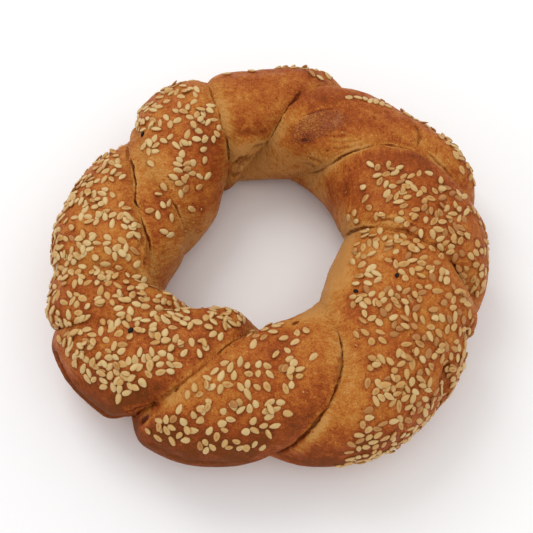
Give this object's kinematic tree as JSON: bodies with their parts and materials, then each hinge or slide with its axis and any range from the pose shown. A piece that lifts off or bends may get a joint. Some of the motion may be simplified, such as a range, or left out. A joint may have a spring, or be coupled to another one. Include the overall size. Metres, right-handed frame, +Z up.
{
  "type": "sesame bread ring",
  "caption": "Ring of two twisted dough ropes baked golden brown, with sesame seeds scattered over its lobes and a flat underside.",
  "frame": {"origin": "middle of the ring's box, on the flat underside", "axes": "+Z up out of the flat underside, -Y towards the deep front crease, +X to the right of it"},
  "size_m": [0.1354, 0.1334, 0.0362],
  "materials": {
    "crust": "baked bread crust, golden brown with darker crowns and foot, dull sheen",
    "sesame": "hulled sesame seeds, toasted cream to tan, satin",
    "black_seed": "small dark seeds, dull"
  },
  "bodies": {
    "root": {"bread_ring": "crust"}
  },
  "joints": []
}
